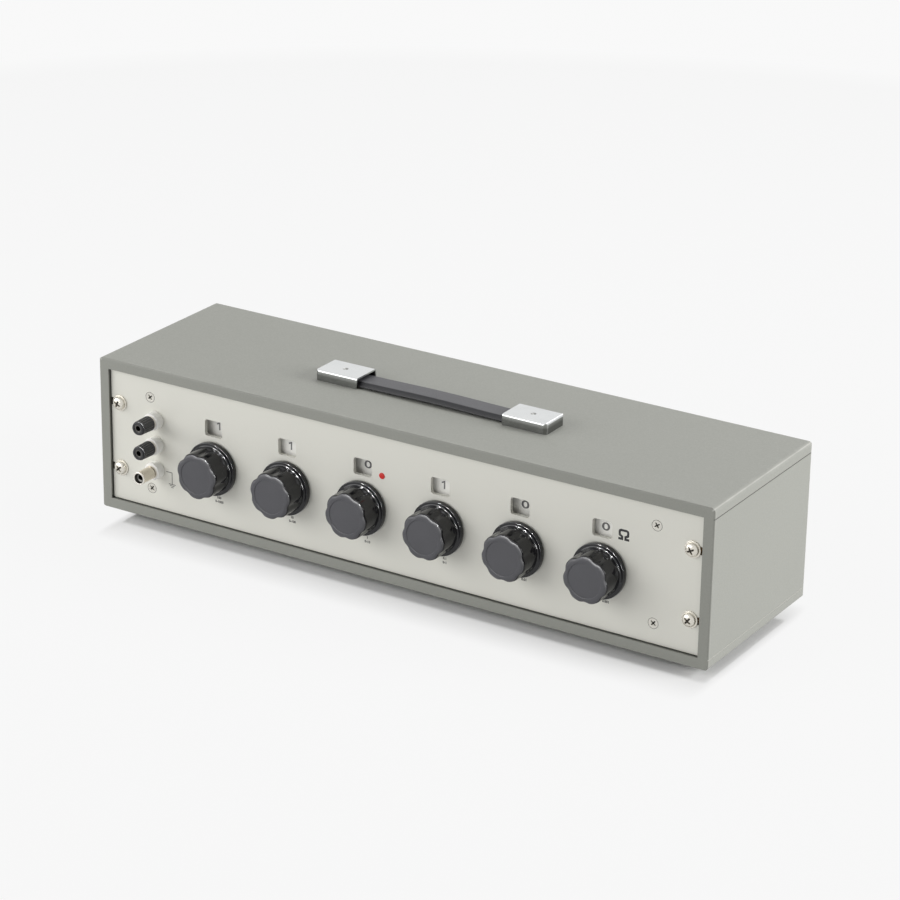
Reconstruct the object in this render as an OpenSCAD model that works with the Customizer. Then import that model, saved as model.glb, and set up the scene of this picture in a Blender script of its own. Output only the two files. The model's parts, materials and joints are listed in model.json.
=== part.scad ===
// Decade resistance box: a painted wooden case with a recessed metal front panel.
// Six selectors turn number dials behind small windows, and three terminals lead out.
// +X is right as the panel is read, +Y points to the back and +Z is up.

/* [Case] */
// Width over the side boards
case_w = 497; // [490:1:510]
// Height without the feet
case_h = 116; // [114:1:122]
// Depth of the boards from front to back
case_d = 140; // [125:1:180]
// Thickness of the boards
board_t = 8; // [7:0.5:9]
// Rounding of the long edges
edge_r = 3.5; // [2:0.5:5]
// Rounding of the front and back edges
rim_r = 1.2; // [0.5:0.1:1.5]
// Chamfer that shows each board joint as a fine groove
seam = 0.5; // [0.2:0.1:0.8]
// Thickness of the back board
back_t = 6; // [4:0.5:8]
// Depth of the back board behind the rear edge
back_recess = 3; // [2.5:0.5:6]
// Height of a rubber foot
foot_h = 6; // [4:0.5:10]
// Diameter of a rubber foot
foot_d = 18; // [14:1:22]

/* [Front panel] */
// Thickness of the metal panel
panel_t = 3; // [2.5:0.5:4]
// Depth of the panel behind the front edge
panel_recess = 2.5; // [1:0.5:4]
// Gap between the panel and the boards
panel_gap = 0.5; // [0.3:0.1:1]
// Distance from the panel edge to the rack screws
rack_inset = 7.5; // [7:0.25:8]
// Height between the rack slots
rack_dz = 50; // [40:1:56]
// Width of a rack slot
rack_slot = 5.6; // [5.2:0.1:6.5]
// Distance from the panel edge to the flat frame screws
frame_inset = 34.5; // [33:0.5:36]
// Height between the flat frame screws
frame_dz = 70; // [66:1:74]

/* [Selectors] */
// Distance from the panel's left edge to the first knob's axis
row_left = 90; // [88.5:0.5:94]
// Distance from the last knob's axis to the panel's right edge
row_right = 75; // [72:0.5:85]
// Height of the knob axes below the panel's middle
knob_drop = 6.3; // [5.5:0.1:7]
// Height of a knob over the panel
knob_h = 22.4; // [21:0.2:26]
// Diameter of a knob's skirt
skirt_d = 39.6; // [38:0.2:41]
// Diameter over the lobes of a knob's grip
grip_d = 34.2; // [32:0.2:35.4]
// Number of lobes round a knob
lobes = 7; // [6:1:10]
// Depth of the hollows between the lobes
hollow = 1.3; // [0.8:0.1:1.6]
// Diameter of a selector shaft
shaft_d = 6; // [5:0.5:6.5]
// Height of a window's middle over its knob axis
window_rise = 29.3; // [28:0.1:30]
// Width of a window
window_w = 15; // [12:0.5:17]
// Height of a window
window_h = 12.3; // [10:0.1:13]
// Diameter of a number dial
dial_d = 69; // [64:1:70]
// Depth between two neighbouring dials, which overlap
dial_step = 2; // [1.8:0.1:2.5]
// Angle between two switch positions
step_deg = 30; // [28:1:30]

/* [Terminals] */
// Distance from the panel edge to the terminal column
term_inset = 39.5; // [38:0.5:41]
// Distance between two terminals
term_pitch = 19.05; // [18.5:0.05:20]
// Diameter of an insulating base
base_d = 13; // [12:0.5:14]
// Height of an insulating base over the panel
base_l = 7; // [6:0.5:7.5]
// Diameter of a terminal cap
cap_d = 11; // [10.5:0.1:12]
// Length of a terminal cap
cap_l = 12.5; // [11:0.1:12.8]
// Diameter of a plug socket
socket_d = 4; // [4:0.1:4.2]
// Diameter of a terminal stud
stud_d = 6; // [6:0.1:6.4]

/* [Handle] */
// Distance from the case's front to the handle's middle line
handle_in = 60.3; // [50:0.1:75]
// Length over both end caps
handle_l = 188.6; // [160:0.2:220]
// Length of an end cap
end_l = 35; // [32:0.5:40]
// Width of an end cap
end_w = 24.5; // [23:0.5:28]
// Height of an end cap
end_h = 8; // [7.8:0.1:9]
// Width of the strap
strap_w = 20; // [16:0.5:20.5]
// Thickness of the strap
strap_t = 3.5; // [3:0.1:3.6]

/* [Clearances] */
// Radial clearance of a shaft that turns in its hole
run_gap = 0.03; // [0.02:0.01:0.08]
// Gap between flat faces that pass each other
pass_gap = 0.4; // [0.3:0.1:0.5]

/* [Hidden] */
$fn = 96;
eps = 0.5;

in_w = case_w - 2 * board_t;
in_h = case_h - 2 * board_t;
panel_w = in_w - 2 * panel_gap;
panel_h = in_h - 2 * panel_gap;

// The origin is under the middle of the whole object's box.
front_reach = knob_h - panel_recess;
y_front = (front_reach - case_d) / 2;
y_back = y_front + case_d;
y_panel = y_front + panel_recess;
z_case = foot_h;
z_top = foot_h + case_h;
z_mid = foot_h + case_h / 2;

// Levels along the outward normal of the panel, counted from its front face.
pillar_l = 18;
plate_t = 2;
deck_t = 3;
nut_t = 4;
flange_t = 3;
dial_t = 1;
dial_gap = 2;
plate_front = -panel_t - pillar_l;
plate_back = plate_front - plate_t;
deck_back = plate_back - deck_t;
nut_back = deck_back - nut_t;
bush_back = nut_back - 1;
rotor_front = bush_back - 1;
rotor_l = 8;
shaft_back = rotor_front - rotor_l - 1;
shaft_cover = 5.4;
shaft_front = knob_h - shaft_cover;
stud_back = deck_back - 4;

// Selectors: at rest the windows read 1, 1, 0, 1, 0 and 0.
sel = [0:5];
reading = [1, 1, 0, 1, 0, 0];
// Steps by which a knob is clamped round its shaft.
clamp_step = [0, 0, 0, 1, 0, 0];
lobe_deg = 39.1;
scoop_r = grip_d / 5;
knob_back = 0.8;
skirt_t = 3.9;
face_in = 4.4;
face_sink = 0.4;
first_deg = 240;
positions = 11;
contact_r = 20;
contact_d = 4;
knob_pitch = (panel_w - row_left - row_right) / 5;
deck_gap = 5;
deck_w = knob_pitch - deck_gap;
deck_up = 49;
deck_down = 37;
spool_d = 11;
wind_d = 8.5;
spool_l = 18;
spool_rim = 1.2;
spool_dx = [13, 16];
spool_rows = [-31, 31, 43];
bush_nut_w = 14;
bush_d = 10;
bush_head_d = 16;
hub_d = 16;
shaft_hole_d = shaft_d + 2;
spool_back = deck_back - spool_l;
function sel_x(i) = -panel_w / 2 + row_left + i * knob_pitch;
function dial_front(i) = -panel_t - dial_gap - (i % 2 == 0 ? dial_step : 0);
function spot(r, a) = [r * cos(a), r * sin(a)];
spool_at = concat(
    [for (k = [-1.5:1:1.5]) [spool_dx[0] * k, spool_rows[0]]],
    [for (row = [1, 2], k = [-1:1]) [spool_dx[1] * k, spool_rows[row]]]);
pin_d = 3;
peg_in = 2;

// Terminals, from the top down.
term_x = -panel_w / 2 + term_inset;
term_up = [term_pitch, 0, -term_pitch];
collar_t = 1.2;
collar_d = 10;
neck_d = 9;
ins_t = 2.5;
tail = -17;
cap_back = base_l + collar_t + pass_gap;
cap_front = cap_back + cap_l;
tube_d = 8;
lip_d = [9.4, 9.4, 9.7];
earth_d = 9.2;
lip_t = 0.6;
stud_front = cap_back + 4.6;
tube_front = cap_front + pass_gap - 0.1 + lip_t;
term_nut_w = 10;

// Leads: their holes in the decks and the plate, and the levels at which they run.
lead_d = 1.6;
lead_hole_d = 5;
lead_z = tail + lead_d;
lead_in = deck_w / 2 - 3;
lead_up = 20;
lead_dx = [12, 17];
lead_y = [lead_up - knob_drop, -lead_up - knob_drop];
earth_dx = 8;
link_drop = 7;
link_back = deck_back - link_drop;
lead_back = spool_back - 3;

// Rack and frame fasteners.
rack_x = panel_w / 2 - rack_inset;
frame_x = panel_w / 2 - frame_inset;
frame_d = 4;
frame_bite = 7;
pillar_d = 8;
pillar_nut_w = 7;
pillar_nut_t = 3.2;
plate_margin = [7, 6];
plate_r = 4;
rack_d = 5;
rack_head_d = 10;
rack_head_h = 3.2;
rack_bite = 12;
washer_d = 12;
washer_t = 1;

// Feet, battens and cleats.
foot_in = [24, 20];
stem_d = 6;
stem_l = 6;
batten = 12;
back_screw_d = 3;
back_screw_in = 12;
back_bite = 10;
cleat = [18, 14];

// Handle.
y_handle = y_front + handle_in;
foot_plate_t = 0.8;
sheet_t = 1.2;
end_x = (handle_l - end_l) / 2;
strap_z = z_top + foot_plate_t + 0.2;
peg_d = 6;
peg_h = 5;
screw_dx = 10;

paint = "#a8a99f";
panel_grey = "#bdbdb4";
black = "#26262a";
nickel = "#c9c9c4";
phenolic = "#7a4a2a";

// Placing

// Local X is right, local Y is up and local Z points out of the panel's front face.
module on_panel(x = 0, up = 0) {
    translate([x, y_panel, z_mid + up]) rotate([90, 0, 0]) children();
}

module at_selector(i) {
    on_panel(sel_x(i), -knob_drop) children();
}

module at_rack() {
    for (sx = [-1, 1], sz = [-1, 1]) on_panel(sx * rack_x, sz * rack_dz / 2) children();
}

module at_frame() {
    for (sx = [-1, 1], sz = [-1, 1]) on_panel(sx * frame_x, sz * frame_dz / 2) children();
}

module at_terminal(k) {
    on_panel(term_x, term_up[k]) children();
}

// Seen from the end cap, local X points to the strap.
module at_handle() {
    for (s = [0, 1]) translate([s == 0 ? -end_x : end_x, y_handle, z_top]) rotate([0, 0, 180 * s]) children();
}

module at_feet() {
    for (sx = [-1, 1], y = [y_front + foot_in[1], y_back - foot_in[1]])
        translate([sx * (case_w / 2 - foot_in[0]), y, 0]) children();
}

module at_back_screws() {
    for (sx = [-1, 1], sz = [-1, 0, 1])
        translate([sx * (in_w - batten) / 2, y_back - back_recess, z_mid + sz * (in_h / 2 - back_screw_in)])
            rotate([-90, 0, 0]) children();
}

// Shared shapes

// Cuts a rounding off an edge that runs along Z through the origin, with the body at -X -Y.
module edge_cut(l, r) {
    linear_extrude(l, center = true) difference() {
        translate([-r, -r]) square(r + eps);
        translate([-r, -r]) circle(r);
    }
}

module chamfer_cut(l, c) {
    linear_extrude(l, center = true) rotate(45) square(c * sqrt(2), center = true);
}

module round_rect(w, h, r) {
    difference() {
        square([w, h], center = true);
        for (a = [0, 1], b = [0, 1])
            mirror([a, 0]) mirror([0, b]) translate([w / 2 - r, h / 2 - r]) difference() {
                square(r + eps);
                circle(r);
            }
    }
}

module bored(d, hole, h) {
    difference() {
        cylinder(d = d, h = h);
        translate([0, 0, -eps]) cylinder(d = hole, h = h + 2 * eps);
    }
}

module hex_nut(across, hole, h) {
    difference() {
        cylinder(d = across / cos(30), h = h, $fn = 6);
        translate([0, 0, -eps]) cylinder(d = hole, h = h + 2 * eps);
    }
}

// Cross recess, cut down from the head's top at Z = 0.
module cross_cut(size, deep) {
    for (a = [0, 90])
        rotate(a) translate([-size / 2, -size / 7, -deep]) cube([size, size * 2 / 7, deep + eps]);
}

// Head upwards on Z = 0, shank below.
module pan_screw(d, l, head_d, head_h) {
    ball = (pow(head_d / 2, 2) + pow(head_h, 2)) / (2 * head_h) + 1;
    difference() {
        union() {
            intersection() {
                cylinder(d = head_d, h = head_h);
                translate([0, 0, head_h - ball]) sphere(ball);
            }
            translate([0, 0, -l]) cylinder(d = d, h = l);
        }
        translate([0, 0, head_h]) cross_cut(head_d * 0.56, head_h * 0.6);
    }
}

// Top of the flat head on Z = 0.
module flat_screw_body(d, l, head_d) {
    cone = (head_d - d) / 2;
    translate([0, 0, -cone]) cylinder(d1 = d, d2 = head_d, h = cone);
    translate([0, 0, -l]) cylinder(d = d, h = l - cone);
}

module flat_screw(d, l, head_d) {
    difference() {
        flat_screw_body(d, l, head_d);
        cross_cut(head_d * 0.55, 1);
    }
}

module rod(a, b, d) {
    v = b - a;
    l = norm(v);
    translate(a) rotate([0, acos(v[2] / l), atan2(v[1], v[0])]) cylinder(d = d, h = l, $fn = 24);
}

// Bent wire through a list of points.
module wire(p, d) {
    for (i = [0:len(p) - 2]) rod(p[i], p[i + 1], d);
    for (i = [1:len(p) - 2]) translate(p[i]) sphere(d = d, $fn = 24);
}

// Case

// Lying on Z = 0 with the outer face up.
module cover_board() {
    difference() {
        translate([-case_w / 2, y_front, 0]) cube([case_w, case_d, board_t]);
        for (s = [0, 1]) mirror([s, 0, 0]) {
            translate([case_w / 2, y_front + case_d / 2, board_t]) rotate([90, 0, 0])
                edge_cut(case_d + 2, edge_r);
            translate([case_w / 2, y_front + case_d / 2, 0]) rotate([90, 0, 0]) chamfer_cut(case_d + 2, seam);
            translate([case_w / 2, y_front, board_t / 2]) rotate([0, 0, -90]) edge_cut(board_t + 2, rim_r);
            translate([case_w / 2, y_back, board_t / 2]) edge_cut(board_t + 2, rim_r);
        }
        translate([0, y_front, board_t]) rotate([90, 0, -90]) edge_cut(case_w + 2, rim_r);
        translate([0, y_back, board_t]) rotate([90, 0, 90]) edge_cut(case_w + 2, rim_r);
    }
}

module top_board() {
    color(paint) difference() {
        translate([0, 0, z_top - board_t]) cover_board();
        at_handle() for (s = [-1, 1]) translate([s * screw_dx, 0, foot_plate_t]) flat_screw_body(3, 8, 6);
    }
}

module bottom_board() {
    color(paint) difference() {
        translate([0, 0, z_case + board_t]) mirror([0, 0, 1]) cover_board();
        at_feet() cylinder(d = stem_d, h = z_case + stem_l);
    }
}

module side_board() {
    difference() {
        translate([in_w / 2, y_front, z_case + board_t]) cube([board_t, case_d, in_h]);
        for (s = [-1, 1])
            translate([case_w / 2, y_front + case_d / 2, z_mid + s * in_h / 2]) rotate([90, 0, 0])
                chamfer_cut(case_d + 2, seam);
        translate([case_w / 2, y_front, z_mid]) rotate([0, 0, -90]) edge_cut(in_h + 2, rim_r);
        translate([case_w / 2, y_back, z_mid]) edge_cut(in_h + 2, rim_r);
    }
}

module left_board() {
    color(paint) mirror([1, 0, 0]) side_board();
}

module right_board() {
    color(paint) side_board();
}

module back_board() {
    color(paint) difference() {
        translate([-panel_w / 2, y_back - back_recess - back_t, z_mid - panel_h / 2])
            cube([panel_w, back_t, panel_h]);
        at_back_screws() translate([0, 0, -back_t - eps]) cylinder(d = back_screw_d, h = back_t + 2 * eps);
    }
}

module back_battens() {
    color("#c8a878") difference() {
        for (s = [0, 1]) mirror([s, 0, 0])
            translate([in_w / 2 - batten, y_back - back_recess - back_t - batten, z_case + board_t])
                cube([batten, batten, in_h]);
        at_back_screws() translate([0, 0, -back_t - back_bite])
            cylinder(d = back_screw_d, h = back_bite + eps);
    }
}

module back_screws() {
    color(nickel) at_back_screws() pan_screw(back_screw_d, back_t + back_bite, 2 * back_screw_d, 2);
}

module feet() {
    color(black) at_feet() {
        difference() {
            cylinder(d1 = foot_d - 2, d2 = foot_d, h = foot_h);
            translate([0, 0, -eps]) cylinder(d = stem_d, h = 1 + eps);
        }
        translate([0, 0, foot_h - 1]) cylinder(d = stem_d, h = stem_l + 1);
    }
}

module panel_cleats() {
    color("#c8a878") difference() {
        for (s = [0, 1]) mirror([s, 0, 0])
            translate([in_w / 2 - cleat[0], y_panel + panel_t, z_case + board_t])
                cube([cleat[0], cleat[1], in_h]);
        at_rack() translate([0, 0, -panel_t - rack_bite]) cylinder(d = rack_d, h = rack_bite + eps);
    }
}

// Front panel and the frame behind it

module front_panel() {
    color(panel_grey) difference() {
        on_panel() translate([0, 0, -panel_t]) linear_extrude(panel_t) difference() {
            square([panel_w, panel_h], center = true);
            for (sx = [0, 1], sz = [-1, 1]) mirror([sx, 0]) translate([rack_x - 1, sz * rack_dz / 2]) {
                circle(d = rack_slot);
                translate([0, -rack_slot / 2]) square([rack_inset + 2, rack_slot]);
            }
            for (i = sel) translate([sel_x(i), -knob_drop]) {
                circle(d = shaft_hole_d);
                translate([0, window_rise]) round_rect(window_w, window_h, 2);
            }
            for (k = [0:2]) translate([term_x, term_up[k]]) circle(d = neck_d);
        }
        at_frame() flat_screw_body(frame_d, panel_t + 1, 2 * frame_d);
    }
}

module rack_screws() {
    color(nickel) at_rack() translate([0, 0, washer_t])
        pan_screw(rack_d, washer_t + panel_t + rack_bite, rack_head_d, rack_head_h);
}

module rack_washers() {
    color(nickel) at_rack() bored(washer_d, rack_d, washer_t);
}

module frame_screws() {
    color(nickel) at_frame() flat_screw(frame_d, panel_t + frame_bite, 2 * frame_d);
}

module frame_pillars() {
    color(nickel) at_frame() {
        difference() {
            translate([0, 0, plate_front]) cylinder(d = pillar_d, h = pillar_l);
            translate([0, 0, -panel_t - frame_bite]) cylinder(d = frame_d, h = frame_bite + eps);
        }
        translate([0, 0, plate_back - 5]) cylinder(d = frame_d, h = plate_t + 5 + 1);
    }
}

module chassis_plate() {
    color(nickel) difference() {
        on_panel() translate([0, 0, plate_back]) linear_extrude(plate_t) difference() {
            round_rect(2 * (frame_x + plate_margin[0]), frame_dz + 2 * plate_margin[1], plate_r);
            for (i = sel) translate([sel_x(i), -knob_drop]) circle(d = bush_d);
            for (k = [0, 1]) translate([term_x + lead_dx[k], lead_y[k]]) circle(d = lead_hole_d);
        }
        at_frame() translate([0, 0, plate_back - eps]) cylinder(d = frame_d, h = plate_t + 2 * eps);
    }
}

module pillar_nuts() {
    color(nickel) at_frame() translate([0, 0, plate_back - pillar_nut_t])
        hex_nut(pillar_nut_w, frame_d, pillar_nut_t);
}

// Rotary switches

module shaft_bushes() {
    color("#b99a58") for (i = sel) at_selector(i) difference() {
        union() {
            translate([0, 0, plate_front]) cylinder(d = bush_head_d, h = flange_t);
            translate([0, 0, bush_back]) cylinder(d = bush_d, h = plate_front - bush_back + 1);
        }
        translate([0, 0, bush_back - eps])
            cylinder(d = shaft_d + 2 * run_gap, h = plate_front - bush_back + flange_t + 2 * eps);
    }
}

module bush_nuts() {
    color(nickel) for (i = sel) at_selector(i) translate([0, 0, nut_back]) hex_nut(bush_nut_w, bush_d, nut_t);
}

module deck_holes() {
    translate([0, 0, deck_back - eps]) {
        for (k = [0:positions - 1])
            translate(spot(contact_r, first_deg - k * step_deg)) cylinder(d = contact_d, h = peg_in + eps);
        for (p = spool_at) translate(p) cylinder(d = pin_d, h = peg_in + eps);
        for (s = [-1, 1], e = [-1, 1])
            translate([s * lead_in, e * lead_up]) cylinder(d = lead_d, h = peg_in + eps);
    }
}

module switch_decks() {
    color(phenolic) for (i = sel) at_selector(i) difference() {
        translate([-deck_w / 2, -deck_down, deck_back]) cube([deck_w, deck_up + deck_down, deck_t]);
        translate([0, 0, deck_back - eps]) cylinder(d = bush_d, h = deck_t + 2 * eps);
        deck_holes();
    }
}

module contact_studs() {
    color("#b99a58") for (i = sel, k = [0:positions - 1])
        at_selector(i) translate(spot(contact_r, first_deg - k * step_deg))
            translate([0, 0, stud_back]) cylinder(d = contact_d, h = deck_back + peg_in - stud_back);
}

module resistor_spools() {
    color("#5a3d2a") for (i = sel, p = spool_at) at_selector(i) translate(p) {
        translate([0, 0, spool_back]) cylinder(d = spool_d, h = spool_rim);
        translate([0, 0, spool_back + spool_rim / 2]) cylinder(d = wind_d, h = spool_l - spool_rim);
        translate([0, 0, deck_back - spool_rim]) cylinder(d = spool_d, h = spool_rim);
        translate([0, 0, deck_back - spool_rim / 2]) cylinder(d = pin_d, h = spool_rim / 2 + peg_in);
    }
}

// Links join the decks in series. Two leads run behind the decks and through the plate to the terminals.
module link_wires() {
    root = deck_back + peg_in;
    ends = [sel_x(0) - lead_in, sel_x(5) + lead_in];
    level = [link_back, lead_back];
    color("#a8623a") {
        for (i = [0:4]) on_panel(0, -knob_drop) wire([
            [sel_x(i) + lead_in, lead_up, root], [sel_x(i) + lead_in, lead_up, link_back],
            [sel_x(i + 1) - lead_in, lead_up, link_back], [sel_x(i + 1) - lead_in, lead_up, root]], lead_d);
        for (k = [0, 1]) {
            down_x = term_x + lead_dx[k];
            on_panel() wire([
                [ends[k], lead_y[k], root], [ends[k], lead_y[k], level[k]],
                [down_x, lead_y[k], level[k]], [down_x, lead_y[k], lead_z],
                [down_x, term_up[k], lead_z], [term_x, term_up[k], lead_z]], lead_d);
        }
        on_panel() wire([
            [term_x, term_up[2], lead_z], [term_x + earth_dx, term_up[2], lead_z],
            [term_x + earth_dx, term_up[2], plate_front]], lead_d);
    }
}

module shaft(i) {
    color(nickel) at_selector(i) translate([0, 0, shaft_back])
        cylinder(d = shaft_d, h = shaft_front - shaft_back);
}

module dial(i) {
    color("#f2f2ee") at_selector(i) difference() {
        union() {
            translate([0, 0, dial_front(i) - dial_t]) cylinder(d = dial_d, h = dial_t);
            translate([0, 0, plate_front + flange_t + pass_gap])
                cylinder(d = hub_d, h = dial_front(i) - plate_front - flange_t - pass_gap);
        }
        translate([0, 0, plate_front]) cylinder(d = shaft_d, h = pillar_l);
    }
}

module rotor(i) {
    color("#b99a58") at_selector(i) rotate(first_deg - reading[i] * step_deg) difference() {
        union() {
            translate([0, 0, rotor_front - rotor_l]) cylinder(d = 14, h = rotor_l);
            translate([0, -2.5, rotor_front - 4]) cube([contact_r + 2.5, 5, 2]);
            translate([contact_r, 0, rotor_front - 3])
                cylinder(d = 3, h = stud_back - pass_gap - rotor_front + 3);
        }
        translate([0, 0, rotor_front - rotor_l - eps]) cylinder(d = shaft_d, h = rotor_l + 2 * eps);
    }
}

// Broad round lobes with a narrow hollow scooped out between each two.
module lobed_outline() {
    difference() {
        circle(d = grip_d);
        for (k = [0:lobes - 1])
            rotate((k + 0.5) * 360 / lobes) translate([grip_d / 2 - hollow + scoop_r, 0]) circle(scoop_r);
    }
}

// Stepped skirt with a lobed grip on it, rounded over at the shoulder round a sunk face.
module knob(i) {
    tip = grip_d / 2;
    rim = knob_back + skirt_t;
    turn = lobe_deg - (reading[i] - clamp_step[i]) * step_deg;
    color(black) at_selector(i) rotate(turn) difference() {
        union() {
            rotate_extrude() polygon([
                [0, knob_back], [skirt_d / 2 - 0.5, knob_back], [skirt_d / 2, knob_back + 0.5],
                [skirt_d / 2, rim - 0.6], [skirt_d / 2 - 0.6, rim], [tip + 1, rim + 0.1],
                [tip + 0.4, rim + 0.8], [0, rim + 0.8]]);
            intersection() {
                translate([0, 0, rim]) linear_extrude(knob_h - rim) lobed_outline();
                rotate_extrude() polygon([
                    [0, 0], [tip + 1, 0], [tip + 1, knob_h - 6], [tip - 0.4, knob_h - 1.3],
                    [tip - 1.5, knob_h - 0.35], [tip - 2.9, knob_h], [0, knob_h]]);
            }
        }
        translate([0, 0, knob_h - face_sink]) cylinder(r = tip - face_in, h = 2 * face_sink);
        translate([0, 0, -eps]) cylinder(d = shaft_d, h = shaft_front + eps);
    }
}

// Terminals

module terminal_bases() {
    color("#ecece6") for (k = [0:2]) at_terminal(k) difference() {
        union() {
            cylinder(d = base_d, h = base_l);
            translate([0, 0, -panel_t]) cylinder(d = neck_d, h = panel_t + 1);
        }
        translate([0, 0, -panel_t - eps]) cylinder(d = stud_d, h = panel_t + base_l + 2 * eps);
    }
}

module terminal_studs() {
    color(nickel) for (k = [0:2]) at_terminal(k) difference() {
        union() {
            translate([0, 0, tail]) cylinder(d = stud_d, h = stud_front - tail);
            translate([0, 0, base_l]) cylinder(d = collar_d, h = collar_t);
        }
        translate([0, 0, 1]) cylinder(d = socket_d, h = stud_front + eps);
        translate([0, 0, lead_z]) rotate([0, 90, 0]) cylinder(d = lead_d, h = stud_d);
    }
}

module rear_insulators() {
    color("#ecece6") for (k = [0:2]) at_terminal(k)
        translate([0, 0, -panel_t - ins_t]) bored(base_d, stud_d, ins_t);
}

module terminal_nuts() {
    color(nickel) for (k = [0:2]) at_terminal(k) translate([0, 0, -panel_t - ins_t - nut_t])
        hex_nut(term_nut_w, stud_d, nut_t);
}

// Threaded sleeve that rises with its cap and holds the plug socket.
module socket_tube(k) {
    color(nickel) at_terminal(k) difference() {
        union() {
            translate([0, 0, cap_back]) cylinder(d = tube_d, h = tube_front - cap_back);
            translate([0, 0, tube_front - lip_t]) cylinder(d = lip_d[k], h = lip_t);
        }
        translate([0, 0, cap_back - eps])
            cylinder(d = stud_d + 2 * run_gap, h = stud_front - cap_back + pass_gap + eps);
        cylinder(d = socket_d, h = tube_front + eps);
    }
}

// Fluted grip round the sleeve.
module terminal_cap(k, barrel_d, nose_d, flute) {
    step = cap_back + 0.68 * cap_l;
    at_terminal(k) difference() {
        rotate_extrude() polygon([
            [0, cap_back], [barrel_d / 2 - 0.4, cap_back], [barrel_d / 2, cap_back + 0.4],
            [barrel_d / 2, step], [nose_d / 2, step + 0.5], [nose_d / 2, cap_front - 0.5],
            [nose_d / 2 - 0.4, cap_front], [0, cap_front]]);
        for (a = [0:24:336]) rotate(a) translate([barrel_d / 2 + 1 - flute, 0, cap_back + 1])
            cylinder(r = 1, h = step - cap_back - 1.8, $fn = 24);
        cylinder(d = tube_d + 2 * run_gap, h = cap_front + eps);
    }
}

module high_cap() {
    color(black) terminal_cap(0, cap_d, cap_d - 0.6, 0.3);
}

module low_cap() {
    color(black) terminal_cap(1, cap_d, cap_d - 0.6, 0.3);
}

module earth_cap() {
    color(nickel) terminal_cap(2, earth_d, earth_d - 0.1, 0.15);
}

// Handle

module handle_plates() {
    inside = end_w - 2 * sheet_t;
    color(nickel) at_handle() difference() {
        union() {
            translate([-end_l / 2 + 4, -inside / 2, 0]) cube([end_l - 5, inside, foot_plate_t]);
            cylinder(d = peg_d, h = foot_plate_t + peg_h);
        }
        for (s = [-1, 1]) translate([s * screw_dx, 0, foot_plate_t]) flat_screw_body(3, 8, 6);
    }
}

module handle_screws() {
    color(nickel) at_handle() for (s = [-1, 1])
        translate([s * screw_dx, 0, foot_plate_t]) flat_screw(3, 8, 6);
}

// Rounded block on Z = 0 whose +X end is left square.
module end_block(l, w, h, r, corner) {
    intersection() {
        translate([-l / 2, 0, 0]) rotate([90, 0, 90]) linear_extrude(l) intersection() {
            translate([0, h / 2 - 10]) round_rect(w, h + 20, r);
            translate([-w, 0]) square([2 * w, h]);
        }
        linear_extrude(h) intersection() {
            translate([10, 0]) round_rect(l + 20, w, corner);
            translate([-l / 2, -w]) square([l, 2 * w]);
        }
        translate([0, w / 2, 0]) rotate([90, 0, 0]) linear_extrude(w) intersection() {
            translate([10, h / 2 - 10]) round_rect(l + 20, h + 20, r);
            translate([-l / 2, 0]) square([l, h]);
        }
    }
}

module handle_caps() {
    color(nickel) at_handle() difference() {
        end_block(end_l, end_w, end_h, 1.5, 3);
        translate([sheet_t / 2, 0, -eps])
            end_block(end_l - sheet_t + eps, end_w - 2 * sheet_t, end_h - sheet_t + eps, 0.4, 1.8);
        translate([0, 0, end_h + 2.2]) sphere(r = 3);
    }
}

module carry_strap() {
    l = handle_l - 2 * sheet_t - 8;
    flat = strap_w * 0.36;
    color(black) difference() {
        translate([-l / 2, y_handle, strap_z]) rotate([90, 0, 90]) linear_extrude(l) polygon([
            [-strap_w / 2, 0], [strap_w / 2, 0], [strap_w / 2, 0.8],
            [flat, strap_t], [-flat, strap_t], [-strap_w / 2, 0.8]]);
        for (s = [-1, 1]) translate([s * end_x, y_handle, strap_z - eps]) linear_extrude(strap_t + 2 * eps) {
            for (e = [-1, 1]) translate([e, 0]) circle(d = peg_d + 0.8);
            square([2, peg_d + 0.8], center = true);
        }
    }
}

top_board();
bottom_board();
left_board();
right_board();
back_board();
back_battens();
back_screws();
feet();
panel_cleats();
front_panel();
rack_screws();
rack_washers();
frame_screws();
frame_pillars();
chassis_plate();
pillar_nuts();
shaft_bushes();
bush_nuts();
switch_decks();
contact_studs();
resistor_spools();
link_wires();
terminal_bases();
terminal_studs();
rear_insulators();
terminal_nuts();
handle_plates();
handle_screws();
handle_caps();
carry_strap();
socket_tube(0);  // high_socket
socket_tube(1);  // low_socket
socket_tube(2);  // earth_socket
high_cap();
low_cap();
earth_cap();
for (i = sel) {
    knob(i);
    shaft(i);
    dial(i);
    rotor(i);
}
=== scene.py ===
import json
import math

import bpy
import bmesh
from mathutils import Matrix, Vector


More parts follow.
